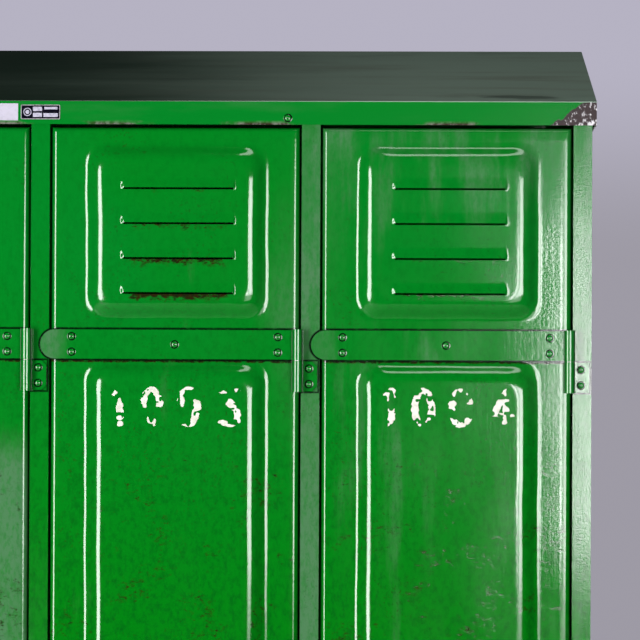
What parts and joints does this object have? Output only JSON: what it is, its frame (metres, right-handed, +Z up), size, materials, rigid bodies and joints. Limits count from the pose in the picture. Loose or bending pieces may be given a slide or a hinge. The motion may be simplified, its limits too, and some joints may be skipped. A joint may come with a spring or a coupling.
{
  "type": "coin operated locker",
  "caption": "Free-standing bank of tall sheet-steel lockers with louvred doors on strap hinges, coin-return locks with keys, hat shelves, coat rails and a sloping roof.",
  "frame": {"origin": "on the floor, under the middle of the object's box", "axes": "+Z up, +X to the right of a person facing the doors, the doors face -Y"},
  "size_m": [1.435, 0.545, 1.906],
  "materials": {
    "green_paint": "worn gloss enamel",
    "roof_paint": "dusty faded enamel",
    "bare_steel": "dull",
    "lock_chrome": "worn satin",
    "key_brass": "handled",
    "plate_metal": "etched, black ground",
    "label_film": "blank sticker"
  },
  "bodies": {
    "cabinet": {"roof": "roof_paint", "side_panel_left": "green_paint", "side_panel_right": "green_paint", "back_panel": "green_paint", "floor_panel": "green_paint", "top_panel": "green_paint", "partition_1": "green_paint", "partition_2": "green_paint", "partition_3": "green_paint", "post_1": "green_paint", "post_2": "green_paint", "post_3": "green_paint", "post_4": "green_paint", "post_5": "green_paint", "top_rail": "green_paint", "plinth": "green_paint", "feet": "bare_steel", "hat_shelves": "green_paint", "coat_rails": "bare_steel", "hinge_leaves": "green_paint", "hinge_pins": "bare_steel", "frame_rivets": "green_paint", "maker_plate": "plate_metal", "label": "label_film"},
    "door_1": {"door_panel_1": "green_paint", "strap_upper_1": "green_paint", "strap_lower_1": "green_paint", "strap_rivets_1": "green_paint", "coin_plate_1": "lock_chrome", "lock_case_1": "bare_steel"},
    "key_1": {"key_1": "key_brass"},
    "bolt_1": {"latch_bolt_1": "bare_steel"},
    "flap_1": {"return_flap_1": "lock_chrome"},
    "door_2": {"door_panel_2": "green_paint", "strap_upper_2": "green_paint", "strap_lower_2": "green_paint", "strap_rivets_2": "green_paint", "coin_plate_2": "lock_chrome", "lock_case_2": "bare_steel"},
    "key_2": {"key_2": "key_brass"},
    "bolt_2": {"latch_bolt_2": "bare_steel"},
    "flap_2": {"return_flap_2": "lock_chrome"},
    "door_3": {"door_panel_3": "green_paint", "strap_upper_3": "green_paint", "strap_lower_3": "green_paint", "strap_rivets_3": "green_paint", "coin_plate_3": "lock_chrome", "lock_case_3": "bare_steel"},
    "key_3": {"key_3": "key_brass"},
    "bolt_3": {"latch_bolt_3": "bare_steel"},
    "flap_3": {"return_flap_3": "lock_chrome"},
    "door_4": {"door_panel_4": "green_paint", "strap_upper_4": "green_paint", "strap_lower_4": "green_paint", "strap_rivets_4": "green_paint", "coin_plate_4": "lock_chrome", "lock_case_4": "bare_steel"},
    "key_4": {"key_4": "key_brass"},
    "bolt_4": {"latch_bolt_4": "bare_steel"},
    "flap_4": {"return_flap_4": "lock_chrome"}
  },
  "joints": [
    {"name": "door_1_hinge", "type": "hinge", "parent": "cabinet", "child": "door_1", "pos_m": [-0.3665, -0.23625, 0.94], "axis": [0, 0, 1], "range_deg": [0, 150]},
    {"name": "key_1_turn", "type": "hinge", "parent": "door_1", "child": "key_1", "pos_m": [-0.637, -0.2385, 0.95], "axis": [0, 1, 0], "range_deg": [0, 90]},
    {"name": "bolt_1_slide", "type": "slide", "parent": "door_1", "child": "bolt_1", "axis": [-1, 0, 0], "range_m": [0, 0.014]},
    {"name": "flap_1_hinge", "type": "hinge", "parent": "door_1", "child": "flap_1", "pos_m": [-0.637, -0.2335, 0.9055], "axis": [1, 0, 0], "range_deg": [0, 60]},
    {"name": "door_2_hinge", "type": "hinge", "parent": "cabinet", "child": "door_2", "pos_m": [-0.0165, -0.23625, 0.94], "axis": [0, 0, 1], "range_deg": [0, 150]},
    {"name": "key_2_turn", "type": "hinge", "parent": "door_2", "child": "key_2", "pos_m": [-0.287, -0.2385, 0.95], "axis": [0, 1, 0], "range_deg": [0, 90]},
    {"name": "bolt_2_slide", "type": "slide", "parent": "door_2", "child": "bolt_2", "axis": [-1, 0, 0], "range_m": [0, 0.014]},
    {"name": "flap_2_hinge", "type": "hinge", "parent": "door_2", "child": "flap_2", "pos_m": [-0.287, -0.2335, 0.9055], "axis": [1, 0, 0], "range_deg": [0, 60]},
    {"name": "door_3_hinge", "type": "hinge", "parent": "cabinet", "child": "door_3", "pos_m": [0.3335, -0.23625, 0.94], "axis": [0, 0, 1], "range_deg": [0, 150]},
    {"name": "key_3_turn", "type": "hinge", "parent": "door_3", "child": "key_3", "pos_m": [0.063, -0.2385, 0.95], "axis": [0, 1, 0], "range_deg": [0, 90]},
    {"name": "bolt_3_slide", "type": "slide", "parent": "door_3", "child": "bolt_3", "axis": [-1, 0, 0], "range_m": [0, 0.014]},
    {"name": "flap_3_hinge", "type": "hinge", "parent": "door_3", "child": "flap_3", "pos_m": [0.063, -0.2335, 0.9055], "axis": [1, 0, 0], "range_deg": [0, 60]},
    {"name": "door_4_hinge", "type": "hinge", "parent": "cabinet", "child": "door_4", "pos_m": [0.6835, -0.23625, 0.94], "axis": [0, 0, 1], "range_deg": [0, 180]},
    {"name": "key_4_turn", "type": "hinge", "parent": "door_4", "child": "key_4", "pos_m": [0.413, -0.2385, 0.95], "axis": [0, 1, 0], "range_deg": [0, 90]},
    {"name": "bolt_4_slide", "type": "slide", "parent": "door_4", "child": "bolt_4", "axis": [-1, 0, 0], "range_m": [0, 0.014]},
    {"name": "flap_4_hinge", "type": "hinge", "parent": "door_4", "child": "flap_4", "pos_m": [0.413, -0.2335, 0.9055], "axis": [1, 0, 0], "range_deg": [0, 60]}
  ],
  "couplings": [
    {"joint": "bolt_1_slide", "follows": "key_1_turn", "m_per_rad": 0.00891},
    {"joint": "bolt_2_slide", "follows": "key_2_turn", "m_per_rad": 0.00891},
    {"joint": "bolt_3_slide", "follows": "key_3_turn", "m_per_rad": 0.00891},
    {"joint": "bolt_4_slide", "follows": "key_4_turn", "m_per_rad": 0.00891}
  ]
}
